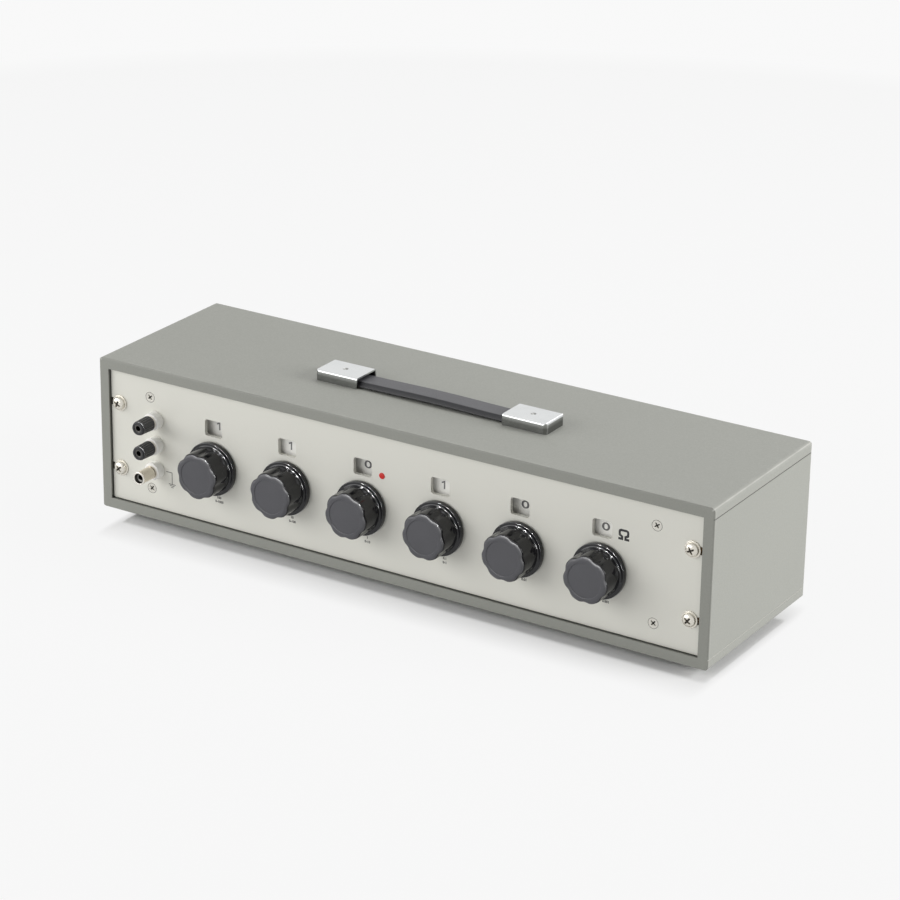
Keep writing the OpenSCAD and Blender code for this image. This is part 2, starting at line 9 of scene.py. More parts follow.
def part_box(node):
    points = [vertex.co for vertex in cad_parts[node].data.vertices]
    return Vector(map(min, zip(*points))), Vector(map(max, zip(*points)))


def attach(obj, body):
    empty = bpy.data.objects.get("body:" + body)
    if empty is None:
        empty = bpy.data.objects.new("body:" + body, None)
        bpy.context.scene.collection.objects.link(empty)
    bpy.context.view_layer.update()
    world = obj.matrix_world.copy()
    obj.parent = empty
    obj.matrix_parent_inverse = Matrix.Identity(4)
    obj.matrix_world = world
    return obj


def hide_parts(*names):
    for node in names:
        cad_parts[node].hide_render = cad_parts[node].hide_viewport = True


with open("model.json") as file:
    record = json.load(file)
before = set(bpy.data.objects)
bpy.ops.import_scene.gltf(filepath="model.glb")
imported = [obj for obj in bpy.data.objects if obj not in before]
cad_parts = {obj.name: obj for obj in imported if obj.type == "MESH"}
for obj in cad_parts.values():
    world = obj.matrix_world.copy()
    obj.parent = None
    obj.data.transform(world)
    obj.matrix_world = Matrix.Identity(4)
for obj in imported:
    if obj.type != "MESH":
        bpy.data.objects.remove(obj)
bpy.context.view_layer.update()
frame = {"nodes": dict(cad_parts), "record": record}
nodes = frame["nodes"]
mm = 0.001
pole = 1e-6  # a ring smaller than this is one point
print("frame loaded:", len(nodes), "nodes")


# places read from the frame, in metres
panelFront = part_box("front_panel")[0].y
shaftAt = []
for i in range(1, 7):
    low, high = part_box("shaft_%d" % i)
    shaftAt.append(((low.x + high.x) / 2, (low.z + high.z) / 2))
terminalAt = {}
for name in ("high", "low", "earth"):
    low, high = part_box(name + "_cap")
    terminalAt[name] = ((low.x + high.x) / 2, (low.z + high.z) / 2)


def onPanel(x, z, out=0.0, turn=0.0):
    # local X right, local Y up, local Z out of the panel's face
    face = Matrix(((1, 0, 0, x), (0, 0, -1, panelFront - out), (0, 1, 0, z), (0, 0, 0, 1)))
    return face @ Matrix.Rotation(math.radians(turn), 4, "Z")


def put(tree, kind, values=None, **settings):
    # one node with its settings, its values and the sockets that feed it
    node = tree.nodes.new(kind)
    for key, value in settings.items():
        setattr(node, key, value)
    for key, value in (values or {}).items():
        if isinstance(value, bpy.types.NodeSocket):
            tree.links.new(value, node.inputs[key])
        else:
            node.inputs[key].default_value = value
    return node


def math2(tree, operation, first, second=0.0):
    return put(tree, "ShaderNodeMath", {0: first, 1: second}, operation=operation).outputs[0]


def axesOf(tree, place):
    return put(tree, "ShaderNodeSeparateXYZ", {0: place}).outputs


def fromAxis(tree, first, second):
    # distance from a point, given its two parts
    squares = [math2(tree, "POWER", part, 2.0) for part in (first, second)]
    return math2(tree, "SQRT", math2(tree, "ADD", *squares))


def linkPiece(name, mesh):
    piece = bpy.data.objects.new(name, mesh)
    bpy.context.scene.collection.objects.link(piece)
    return piece


def dress(piece, finish):
    piece.data.materials.clear()
    piece.data.materials.append(finish)
    return piece


def settle(piece):
    # the evaluated mesh takes the modifiers' place
    bpy.context.view_layer.update()
    graph = bpy.context.evaluated_depsgraph_get()
    mesh = bpy.data.meshes.new_from_object(piece.evaluated_get(graph))
    piece.modifiers.clear()
    old, piece.data = piece.data, mesh
    bpy.data.meshes.remove(old)
    return piece


def smooth(mesh, angle=32):
    mesh.shade_smooth()
    mesh.set_sharp_from_angle(angle=math.radians(angle))


def arc(x, z, r, start, end, steps):
    turns = [math.radians(start + (end - start) * k / steps) for k in range(steps + 1)]
    return [(x + r * math.cos(a), z + r * math.sin(a)) for a in turns]


def ringPoints(r, z, steps):
    turns = [2 * math.pi * k / steps for k in range(steps)]
    return [(r * mm * math.cos(a), r * mm * math.sin(a), z * mm) for a in turns]


def turned(name, profile, steps, closed=False):
    # (radius, height) points in mm turned about Z, from the back to the front
    points, rings, faces = [], [], []
    for r, z in profile:
        ring = ringPoints(r, z, 1 if r < pole else steps)
        rings.append([len(points) + k for k in range(len(ring))])
        points += ring
    if closed:
        rings.append(rings[0])
    for low, high in zip(rings, rings[1:]):
        for k in range(steps):
            n = (k + 1) % steps
            if len(low) == 1:
                faces.append((low[0], high[n], high[k]))
            elif len(high) == 1:
                faces.append((low[k], low[n], high[0]))
            else:
                faces.append((low[k], low[n], high[n], high[k]))
    mesh = bpy.data.meshes.new(name)
    mesh.from_pydata(points, [], faces)
    mesh.update()
    return mesh


def carry(piece, body, slot, *stands):
    if stands:
        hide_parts(*stands)
    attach(piece, body)
    return piece


# camera

cameraSet = {"place": (1111.656, -1774.282, 935.926), "azimuth": 31.82243, "elevation": 22.09255,
             "roll": 0.84631, "lens": 129.84, "sensor": 36.0, "clipEnd": 50}
azimuth, elevation, roll = (math.radians(cameraSet[k]) for k in ("azimuth", "elevation", "roll"))
flat = math.cos(elevation)
backward = Vector((math.sin(azimuth) * flat, -math.cos(azimuth) * flat, math.sin(elevation)))
level = Vector((math.cos(azimuth), math.sin(azimuth), 0))
upward = backward.cross(level)
across = math.cos(roll) * level + math.sin(roll) * upward
upright = -math.sin(roll) * level + math.cos(roll) * upward
lensData = bpy.data.cameras.new("camera")
lensData.lens = cameraSet["lens"]
lensData.sensor_width = cameraSet["sensor"]
lensData.clip_end = cameraSet["clipEnd"]
camera = linkPiece("camera", lensData)
facing = Matrix((across, upright, backward)).transposed().to_4x4()
camera.matrix_world = Matrix.Translation(Vector(cameraSet["place"]) * mm) @ facing
bpy.context.scene.camera = camera
bpy.context.scene.view_settings.view_transform = "Standard"
print("camera set")


# finishes

noiseBand = (0.3, 0.7)  # where most values of a noise lie


def tint(red, green, blue, share=1.0):
    # a colour as the screen shows it, made linear
    linear = []
    for c in (red / 255, green / 255, blue / 255):
        linear.append(c / 12.92 if c < 0.04045 else ((c + 0.055) / 1.055) ** 2.4)
    return (*(min(1.0, c * share) for c in linear), 1.0)


def newFinish(name, rough, metal=0.0):
    material = bpy.data.materials.new(name)
    material.use_nodes = True
    tree = material.node_tree
    shader = tree.nodes["Principled BSDF"]
    shader.inputs["Roughness"].default_value = rough
    shader.inputs["Metallic"].default_value = metal
    place = put(tree, "ShaderNodeTexCoord").outputs["Object"]
    return material, tree, shader, place


def noise(tree, place, scale, detail=4.0, stretch=None):
    if stretch:
        place = put(tree, "ShaderNodeMapping", {"Vector": place, "Scale": stretch}).outputs[0]
    return put(tree, "ShaderNodeTexNoise", {"Vector": place, "Scale": scale, "Detail": detail}).outputs["Fac"]


def between(tree, factor, first, second):
    return put(tree, "ShaderNodeMix", {0: factor, 6: first, 7: second}, data_type="RGBA").outputs[2]


def spread(tree, value, low, high, toLow=0.0, toHigh=1.0):
    return put(tree, "ShaderNodeMapRange", {"Value": value, "From Min": low, "From Max": high,
                                            "To Min": toLow, "To Max": toHigh}).outputs[0]


def bump(tree, shader, height, strength, distance):
    node = put(tree, "ShaderNodeBump", {"Height": height, "Strength": strength, "Distance": distance})
    tree.links.new(node.outputs[0], shader.inputs["Normal"])


def feed(tree, shader, socket, source):
    tree.links.new(source, shader.inputs[socket])


def grained(name, color, rough, mottle=(30, 0.05), grain=(900, 0.2, 0.0002), roughen=0.06, stretch=None,
            sheen=0.5):
    # colour that drifts a little, a fine grain and uneven gloss
    material, tree, shader, place = newFinish(name, rough)
    shader.inputs["Specular IOR Level"].default_value = sheen
    patch, swing = mottle
    drift = noise(tree, place, patch)
    feed(tree, shader, "Base Color", between(tree, drift, tint(*color, 1 - swing), tint(*color, 1 + swing)))
    scale, strength, distance = grain
    fine = noise(tree, place, scale, 5.0, stretch)
    feed(tree, shader, "Roughness", spread(tree, fine, *noiseBand, rough - roughen, rough + roughen))
    bump(tree, shader, fine, strength, distance)
    return material


# lengths in mm, and pairs give where a change starts and ends
# the front and inside tones are painted shade; the pale edge-line tone is wear and a painted highlight; the
# worn tone also paints a highlight along the lower joints
caseFinish = {"color": (160, 161, 154), "worn": (182, 182, 175), "front": (143, 144, 137),
              "inside": (84, 85, 80), "edgeWearHighlight": (192, 192, 186), "seam": (74, 75, 70),
              "rough": 0.52, "grain": 1300, "fleck": 700, "wear": 4.2, "wearEdge": 1.2, "wearShare": 0.35,
              "frontShadeEdge": (1.0, 0.3), "insideShadeEdge": (0.3, 1.2), "slack": 0.3, "edgeWearHighlightWide": (0.9, 0.3),
              "edgeWearHighlightReach": (2.6, 1.8), "seamWide": (0.45, 0.2), "seamEnds": (0.9, 0.6), "seamShare": 0.85}


def casePaint(cut):
    # textured paint on wood, a little rubbed along the long edges, with painted shade on the front faces and
    # inner walls and painted highlights along the top's end edges and the lower joints
    material, tree, shader, place = newFinish("casePaint", cut["rough"])

    def band(value, name):
        return spread(tree, value, *(v * mm for v in cut[name]))

    def less(first, second):
        return math2(tree, "SUBTRACT", first, second)

    def both(first, second):
        return math2(tree, "MULTIPLY", first, second)

    x, y, z = axesOf(tree, place)
    (topLow, topHigh), (bottomLow, bottomHigh) = (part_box(n) for n in ("top_board", "bottom_board"))
    wide = math2(tree, "ABSOLUTE", x)
    behind, below = less(y, topLow.y), less(topHigh.z, z)
    sideGap = less(topHigh.x, wide)
    depthGap = math2(tree, "MINIMUM", behind, less(topHigh.y, y))
    heightGap = math2(tree, "MINIMUM", below, less(z, bottomLow.z))
    near = None
    for a, b in ((sideGap, depthGap), (sideGap, heightGap), (depthGap, heightGap)):
        edge = math2(tree, "MAXIMUM", a, b)
        near = edge if near is None else math2(tree, "MINIMUM", near, edge)
    blotch = noise(tree, place, 60, 6.0)
    rubbed = less(both(blotch, cut["wear"] * mm), near)
    worn = spread(tree, rubbed, 0.0, cut["wearEdge"] * mm, 0.0, cut["wearShare"])
    drift = noise(tree, place, 9, 3.0)
    fleck = noise(tree, place, cut["fleck"], 3.0)
    painted = between(tree, drift, tint(*cut["color"], 0.97), tint(*cut["color"], 1.03))
    painted = between(tree, spread(tree, fleck, 0.35, 0.68), tint(*cut["color"], 0.94), painted)
    painted = between(tree, worn, painted, tint(*cut["worn"]))
    # painted shade: the front faces take a darker tone of the same paint, as they get less light than the top
    # and sides
    front = between(tree, fleck, tint(*cut["front"], 0.94), tint(*cut["front"], 1.06))
    painted = between(tree, band(behind, "frontShadeEdge"), painted, front)
    # painted shade: darker inner walls in front of the panel, in the shadow of the recess round it
    slack = cut["slack"] * mm
    innerShade = math2(tree, "LESS_THAN", wide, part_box("right_board")[0].x + slack)
    innerShade = both(innerShade, math2(tree, "LESS_THAN", z, topLow.z + slack))
    innerShade = both(innerShade, math2(tree, "GREATER_THAN", z, bottomHigh.z - slack))
    innerShade = both(innerShade, band(behind, "insideShadeEdge"))
    innerShade = both(innerShade, math2(tree, "LESS_THAN", y, 0.0))
    painted = between(tree, innerShade, painted, tint(*cut["inside"]))
    # wear and painted highlight: a pale line along the top's two end edges, where their rounding catches the
    # light
    edgeWearHighlight = band(math2(tree, "ABSOLUTE", less(sideGap, below)), "edgeWearHighlightWide")
    edgeWearHighlight = both(edgeWearHighlight, band(math2(tree, "MAXIMUM", sideGap, below), "edgeWearHighlightReach"))
    edgeWearHighlight = both(edgeWearHighlight, spread(tree, blotch, 0.25, 0.6, 0.35, 0.9))
    painted = between(tree, edgeWearHighlight, painted, tint(*cut["edgeWearHighlight"]))
    # joints between the side boards and the boards above and below: a dark line at the top joint, and at the
    # bottom a pale line in the worn tone, a painted highlight on the bottom board's rounded edge
    ends = band(sideGap, "seamEnds")
    for seam, color in ((topLow.z, cut["seam"]), (bottomHigh.z, cut["worn"])):
        line = both(band(math2(tree, "ABSOLUTE", less(z, seam)), "seamWide"), ends)
        painted = between(tree, both(line, cut["seamShare"]), painted, tint(*color))
    feed(tree, shader, "Base Color", painted)
    grain = noise(tree, place, cut["grain"], 6.0)
    feed(tree, shader, "Roughness", spread(tree, grain, *noiseBand, cut["rough"] - 0.08, cut["rough"] + 0.1))
    bump(tree, shader, grain, 0.45, 0.0004)
    return material


def brushedMetal(name, color, rough, stretch=(1, 1, 14), grain=320, strength=0.1):
    material, tree, shader, place = newFinish(name, rough, 1.0)
    streak = noise(tree, place, grain, 4.0, stretch)
    cloud = noise(tree, place, 40, 3.0)
    feed(tree, shader, "Base Color", between(tree, cloud, tint(*color, 0.93), tint(*color, 1.03)))
    feed(tree, shader, "Roughness", spread(tree, streak, *noiseBand, rough * 0.7, rough * 1.35))
    bump(tree, shader, streak, strength, 0.0001)
    return material


# the low tone is painted shade down the chrome's sides
capFinish = {"color": (224, 226, 226), "low": (128, 129, 127), "dimpleTone": (112, 111, 107), "rough": 0.15,
             "long": 35.0, "shadeFall": (0.2, 4.5), "side": (0.2, 1.1), "dimple": (0.9, 2.3)}


def capChrome(cut):
    # bright on top, with painted shade darkening the chrome down the sides, and a darker, duller ring round
    # each dimple
    material, tree, shader, place = newFinish("capChrome", cut["rough"], 1.0)
    low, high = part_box("handle_caps")
    x, y, z = axesOf(tree, place)
    cloud = noise(tree, place, 70, 4.0)
    streak = noise(tree, place, 300, 4.0, (1, 9, 1))
    color = between(tree, cloud, tint(*cut["color"], 0.9), tint(*cut["color"], 1.06))
    # painted shade: the chrome turns to the darker low tone down the sides, standing in for the darker
    # reflection there
    drop = math2(tree, "SUBTRACT", high.z, z)
    shadeFall, side = (spread(tree, drop, *(v * mm for v in cut[k])) for k in ("shadeFall", "side"))
    shadeFall = math2(tree, "ADD", shadeFall, math2(tree, "MULTIPLY", cloud, 0.12))
    color = between(tree, math2(tree, "MULTIPLY", shadeFall, side), color, tint(*cut["low"]))
    apart = (high.x - low.x - cut["long"] * mm) / 2
    across = math2(tree, "SUBTRACT", math2(tree, "ABSOLUTE", x), apart)
    away = fromAxis(tree, across, math2(tree, "SUBTRACT", y, (low.y + high.y) / 2))
    # a darker, duller ring round each dimple
    inner, outer = (v * mm for v in cut["dimple"])
    ring = math2(tree, "MULTIPLY", spread(tree, away, inner * 0.6, inner, 0.45, 0.8),
                 spread(tree, away, outer, outer * 0.75))
    feed(tree, shader, "Base Color", between(tree, ring, color, tint(*cut["dimpleTone"])))
    gloss = spread(tree, streak, *noiseBand, cut["rough"] * 0.7, cut["rough"] * 1.4)
    feed(tree, shader, "Roughness", math2(tree, "ADD", gloss, math2(tree, "MULTIPLY", ring, 0.35)))
    bump(tree, shader, streak, 0.06, 0.0001)
    return material


def knobFace(color):
    # matt face with a fine grain
    material, tree, shader, place = newFinish("knobFace", 0.5)
    shader.inputs["Specular IOR Level"].default_value = 0.3
    cloud = noise(tree, place, 55, 3.0)
    feed(tree, shader, "Base Color", between(tree, cloud, tint(*color, 0.9), tint(*color, 1.1)))
    fine = noise(tree, place, 2200, 3.0)
    feed(tree, shader, "Roughness", spread(tree, fine, *noiseBand, 0.42, 0.58))
    bump(tree, shader, fine, 0.2, 0.0001)
    return material


def strapVinyl(color, side):
    # grained vinyl; the flat top takes a paler tone than the sloping sides, a painted sheen
    material, tree, shader, place = newFinish("strapVinyl", 0.28)
    shader.inputs["Specular IOR Level"].default_value = 0.4
    low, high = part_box("carry_strap")
    wide = high.y - low.y
    cells = put(tree, "ShaderNodeTexVoronoi", {"Vector": place, "Scale": 900},
                feature="DISTANCE_TO_EDGE").outputs["Distance"]
    pores = noise(tree, place, 1500, 4.0)
    cloud = noise(tree, place, 45, 3.0)
    across = math2(tree, "SUBTRACT", axesOf(tree, place)[1], (low.y + high.y) / 2)
    slope = spread(tree, math2(tree, "ABSOLUTE", across), wide * 0.33, wide * 0.38)
    top = between(tree, cloud, tint(*color, 0.88), tint(*color, 1.12))
    feed(tree, shader, "Base Color", between(tree, slope, top, tint(*side)))
    height = math2(tree, "ADD", spread(tree, cells, 0.0, 0.25), math2(tree, "MULTIPLY", pores, 0.4))
    feed(tree, shader, "Roughness", spread(tree, pores, *noiseBand, 0.36, 0.5))
    bump(tree, shader, height, 0.1, 0.0002)
    return material


def woodFinish(name, dark, light):
    material, tree, shader, place = newFinish(name, 0.62)
    grain = noise(tree, place, 60, 6.0, (9, 9, 0.6))
    share = spread(tree, grain, *noiseBand)
    feed(tree, shader, "Base Color", between(tree, share, tint(*dark), tint(*light)))
    bump(tree, shader, grain, 0.3, 0.0003)
    return material


def woundFinish(color):
    # turns of fine enamelled wire
    material, tree, shader, place = newFinish("woundSpool", 0.35)
    turns = put(tree, "ShaderNodeTexWave", {"Vector": place, "Scale": 900, "Distortion": 0.6, "Detail": 1.0},
                bands_direction="Y").outputs["Fac"]
    feed(tree, shader, "Base Color", between(tree, turns, tint(*color, 0.6), tint(*color, 1.2)))
    bump(tree, shader, turns, 0.5, 0.0002)
    return material


finishes = {
    "case_paint": casePaint(caseFinish),
    "panel_paint": grained("panelPaint", (222, 221, 212), 0.36, mottle=(7, 0.02), grain=(1600, 0.1, 0.0001)),
    "bare_wood": woodFinish("bareWood", (176, 138, 92), (214, 180, 132)),
    "nickel": brushedMetal("nickel", (226, 222, 214), 0.2),
    "bright_chrome": capChrome(capFinish),
    "plate_aluminium": brushedMetal("plateAluminium", (198, 198, 196), 0.34),
    "brass": brushedMetal("brass", (206, 172, 104), 0.26),
    "copper_wire": brushedMetal("copperWire", (198, 128, 92), 0.28),
    "foot_rubber": grained("footRubber", (38, 38, 39), 0.75, mottle=(90, 0.15), grain=(1400, 0.35, 0.0002)),
    "phenolic": grained("phenolic", (112, 70, 44), 0.45, mottle=(140, 0.18), grain=(700, 0.25, 0.0002),
                        stretch=(1, 1, 6)),
    "wound_spool": woundFinish((96, 58, 36)),
    "white_insulator": grained("whiteInsulator", (250, 249, 245), 0.34, mottle=(60, 0.015),
                               grain=(1300, 0.06, 0.0001)),
    "terminal_black": grained("terminalBlack", (34, 34, 37), 0.32, mottle=(120, 0.1),
                              grain=(1500, 0.12, 0.0001)),
    "knob_black": grained("knobBlack", (27, 27, 30), 0.15, mottle=(80, 0.1), grain=(420, 0.16, 0.0003),
                          roughen=0.04, sheen=0.4),
    "dial_white": grained("dialWhite", (244, 243, 238), 0.5, mottle=(50, 0.015), grain=(1500, 0.08, 0.0001)),
    "strap_vinyl": strapVinyl((82, 82, 85), (36, 36, 39)),
}
evenGrain = (1, 1, 1)
faceFinish = knobFace((75, 75, 79))
# painted shade: a dark finish for the deep faces of cross recesses and the gap round flat screw heads
recessShadeFinish = grained("recessShade", (44, 42, 40), 0.6, mottle=(900, 0.2), grain=(2500, 0.2, 0.0001))
# painted shade: a darker metal for the rack screws' cross recesses
crossShadeFinish = brushedMetal("crossRecessShade", (74, 71, 66), 0.5, stretch=evenGrain, grain=900)
rackFinish = brushedMetal("rackScrew", (216, 212, 202), 0.3, stretch=evenGrain, grain=700)
dullFinish = brushedMetal("dullScrew", (204, 202, 194), 0.42, stretch=evenGrain, grain=900)
earthFinish = brushedMetal("earthGrip", (228, 220, 206), 0.34, stretch=(1, 14, 1), grain=500)
# painted shade: darker metal inside the sockets' mouths
mouthShadeFinish = brushedMetal("socketMouthShade", (104, 103, 100), 0.34, stretch=evenGrain, grain=900)
inkFinish = grained("printInk", (38, 38, 40), 0.5, mottle=(400, 0.12), grain=(2500, 0.1, 0.00005))
figureFinish = grained("dialInk", (112, 112, 113), 0.5, mottle=(400, 0.12), grain=(2500, 0.1, 0.00005))
redFinish = grained("redInlay", (206, 40, 34), 0.3, mottle=(300, 0.08), grain=(2000, 0.08, 0.00005))
for part in frame["record"]["subparts"]:
    dress(nodes[part["node"]], finishes[part["material_slot"]])
print("finishes made")


# node trees: named inputs, set by identifier, and a plain mesh in the end

def newTree(name, inputs):
    tree = bpy.data.node_groups.new(name, "GeometryNodeTree")
    tree.is_modifier = True
    for label, kind in inputs.items():
        tree.interface.new_socket(label, in_out="INPUT", socket_type="NodeSocket" + kind)
    tree.interface.new_socket("Geometry", in_out="OUTPUT", socket_type="NodeSocketGeometry")
    return tree, put(tree, "NodeGroupInput").outputs


def stored(tree, name, kind):
    return put(tree, "GeometryNodeInputNamedAttribute", {"Name": name}, data_type=kind).outputs["Attribute"]


def coated(tree, geometry, material, where=True):
    return put(tree, "GeometryNodeSetMaterial",
               {"Geometry": geometry, "Selection": where, "Material": material}).outputs[0]


def runTree(piece, tree, values):
    modifier = piece.modifiers.new(tree.name, "NODES")
    modifier.node_group = tree
    for socket in tree.interface.items_tree:
        if socket.in_out == "INPUT" and socket.name in values:
            modifier[socket.identifier] = values[socket.name]
    return settle(piece)


# knobs: a turned body whose grip swings between lobes and hollows

knobLow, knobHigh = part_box("knob_1")
knobCut = {"skirt": (knobHigh.x - knobLow.x) / 2 / mm, "height": (panelFront - knobLow.y) / mm,
           "back": (panelFront - knobHigh.y) / mm, "tip": 17.1, "rim": 4.7, "shoulder": (2.9, 2.6),
           "rounds": (0.5, 0.6, 1.2), "footLift": 0.05, "runOut": 2.45, "lobes": 7, "hollow": 1.25,
           "narrow": 2.2, "fade": 0.55, "mattFrom": 5, "face": 12.7, "sink": 0.4, "crown": 0.3,
           "bore": 3.02, "boreTop": 17.05, "turns": (9.1, 9.1, 39.1, 39.1, 39.1, 39.1), "steps": 196}


def lobedTree():
    tree, into = newTree("lobedGrip", {"Geometry": "Geometry", "Lobes": "Int", "Hollow": "Float",
                                       "Narrow": "Float", "Turn": "Float", "Body finish": "Material",
                                       "Face or shade finish": "Material"})
    x, y = axesOf(tree, put(tree, "GeometryNodeInputPosition").outputs[0])[:2]
    angle = math2(tree, "SUBTRACT", math2(tree, "ARCTAN2", y, x), into["Turn"])
    wave = math2(tree, "COSINE", math2(tree, "MULTIPLY", angle, into["Lobes"]))
    swing = math2(tree, "MULTIPLY", math2(tree, "SUBTRACT", 1.0, wave), 0.5)
    scoop = math2(tree, "POWER", swing, into["Narrow"])
    depth = math2(tree, "MULTIPLY", scoop, math2(tree, "MULTIPLY", into["Hollow"], -1.0))
    depth = math2(tree, "MULTIPLY", depth, stored(tree, "grip", "FLOAT"))
    level = put(tree, "ShaderNodeCombineXYZ", {0: x, 1: y}).outputs[0]
    outward = put(tree, "ShaderNodeVectorMath", {0: level}, operation="NORMALIZE").outputs[0]
    offset = put(tree, "ShaderNodeVectorMath", {0: outward, "Scale": depth}, operation="SCALE").outputs[0]
    moved = put(tree, "GeometryNodeSetPosition", {"Geometry": into["Geometry"], "Offset": offset}).outputs[0]
    solid = put(tree, "GeometryNodeRealizeInstances", {0: moved}).outputs[0]
    body = coated(tree, solid, into["Body finish"])
    face = coated(tree, body, into["Face or shade finish"], stored(tree, "onFace", "BOOLEAN"))
    put(tree, "NodeGroupOutput", {0: face})
    return tree


lobed = lobedTree()


def gripPiece(name, profile, steps, finish, face=None, lobes=1, hollow=0.0, narrow=1.0, turn=0.0):
    # profile rows are (radius, height, share of the hollow, on the face or in painted shade)
    mesh = turned(name, [row[:2] for row in profile], steps)
    marks = [row for row in profile for k in range(1 if row[0] < pole else steps)]
    mesh.attributes.new("grip", "FLOAT", "POINT").data.foreach_set("value", [row[2] for row in marks])
    onFace = [all(marks[k][3] for k in p.vertices) for p in mesh.polygons]
    mesh.attributes.new("onFace", "BOOLEAN", "FACE").data.foreach_set("value", onFace)
    smooth(mesh)
    return runTree(linkPiece(name, mesh), lobed, {
        "Lobes": lobes, "Hollow": hollow * mm, "Narrow": narrow, "Turn": math.radians(turn),
        "Body finish": finish, "Face or shade finish": face or finish})


def knobProfile(cut):
    # from the bore round the skirt, up the grip, over the shoulder and on to the sunk face
    skirt, tip, rim, top, back = (cut[k] for k in ("skirt", "tip", "rim", "height", "back"))
    wide, tall = cut["shoulder"]
    backRound, rimRound, footRound = cut["rounds"]
    foot, bend = rim + footRound + cut["footLift"], top - tall
    rows = [(0, cut["boreTop"]), (cut["bore"], cut["boreTop"]), (cut["bore"], back)]
    rows += arc(skirt - backRound, back + backRound, backRound, -90, 0, 4)
    rows += arc(skirt - rimRound, rim - rimRound, rimRound, 0, 90, 6)
    rows += arc(tip + footRound, foot, footRound, -90, -180, 7)
    rows = [(r, z, 0.0, False) for r, z in rows]
    for k in range(1, 8):
        rows.append((tip, foot + cut["runOut"] * k / 7, 0.5 - 0.5 * math.cos(math.pi * k / 7), False))
    start = foot + cut["runOut"]
    rows += [(tip, start + (bend - start) * k / 9, 1.0, False) for k in range(1, 9)]
    for k, (r, z) in enumerate(arc(0, 0, 1, 0, 90, 12)):
        grip = 1 - cut["fade"] * (k / 12) ** 2
        rows.append((tip - wide + wide * r, bend + tall * z, grip, k >= cut["mattFrom"]))
    lip, floor = cut["face"], top - cut["sink"]
    rows.append((lip + 0.5, top, 0.1, True))
    rows += [(r, z, 0.0, True) for r, z in arc(lip + 0.05, top - 0.2, 0.2, 80, 180, 4)]
    rows.append((lip - 0.2, floor, 0.0, True))
    for k in range(9):
        out = 1 - k / 8
        rows.append(((lip - 0.3) * out, floor + cut["crown"] * (1 - out ** 2), 0.0, True))
    return rows


blackGloss = []  # pieces that the small lamps glint on
for i, (x, z) in enumerate(shaftAt):
    piece = gripPiece("knob%d" % (i + 1), knobProfile(knobCut), knobCut["steps"], finishes["knob_black"],
                      faceFinish, knobCut["lobes"], knobCut["hollow"], knobCut["narrow"], knobCut["turns"][i])
    piece.data.transform(onPanel(x, z))
    blackGloss.append(carry(piece, "selector_%d" % (i + 1), "knob_black", "knob_%d" % (i + 1)))
print("knobs turned:", len(shaftAt))


# number dials: plain figures from 0 to 10, one every 30 degrees

printCut = {"lift": 0.01, "thick": 0.02}
printLift = printCut["lift"] * mm
dialCut = {"radius": 29.1, "step": 30.0, "figure": 5.8, "wide": 1.62, "bold": 0.015,
           "reading": (1, 1, 0, 1, 0, 0), "one": ((-2.0, 1.5), (0.25, 2.6), (0.25, -2.9)), "oneLine": 1.1,
           "pair": (-2.5, 1.5), "tight": 0.7}


def figures(text, height, bold, narrow=1.0):
    # text as a flat mesh, centred on the origin, with its height in mm
    curve = bpy.data.curves.new("figure", "FONT")
    curve.body = text
    curve.align_x = "CENTER"
    curve.offset = bold
    curve.resolution_u = 4
    holder = linkPiece("figure", curve)
    bpy.context.view_layer.update()
    mesh = bpy.data.meshes.new_from_object(holder.evaluated_get(bpy.context.evaluated_depsgraph_get()))
    bpy.data.objects.remove(holder)
    bpy.data.curves.remove(curve)
    xs = [v.co.x for v in mesh.vertices]
    ys = [v.co.y for v in mesh.vertices]
    scale = height * mm / (max(ys) - min(ys))
    middle = Vector(((max(xs) + min(xs)) / 2, (max(ys) + min(ys)) / 2, 0))
    mesh.transform(Matrix.Diagonal((scale * narrow, scale, 1, 1)) @ Matrix.Translation(-middle))
    return mesh


def stroke(points, wide):
    # printed line of even width through points in mm, mitred at its bends
    path = [Vector((x, z, 0)) for x, z in points]
    sides = []
    for k, spot in enumerate(path):
        ways = [(path[j + 1] - path[j]).normalized() for j in (k - 1, k) if 0 <= j < len(path) - 1]
        way = sum(ways, Vector()).normalized()
        reach = wide / 2 / max(0.5, way.dot(ways[0]))
        side = Vector((-way.y, way.x, 0)) * reach
        sides += [spot - side, spot + side]
    faces = [(k, k + 2, k + 3, k + 1) for k in range(0, len(sides) - 2, 2)]
    mesh = bpy.data.meshes.new("stroke")
    mesh.from_pydata([v * mm for v in sides], [], faces)
    return mesh


def printed(name, marks, finish):
    # several flat meshes joined and given the thickness of a print
    work = bmesh.new()
    for mesh, place in marks:
        mesh.transform(place)
        work.from_mesh(mesh)
        bpy.data.meshes.remove(mesh)
    mesh = bpy.data.meshes.new(name)
    work.to_mesh(mesh)
    work.free()
    piece = linkPiece(name, mesh)
    coat = piece.modifiers.new("coat", "SOLIDIFY")
    coat.thickness = printCut["thick"] * mm
    coat.offset = 1.0
    return dress(settle(piece), finish)


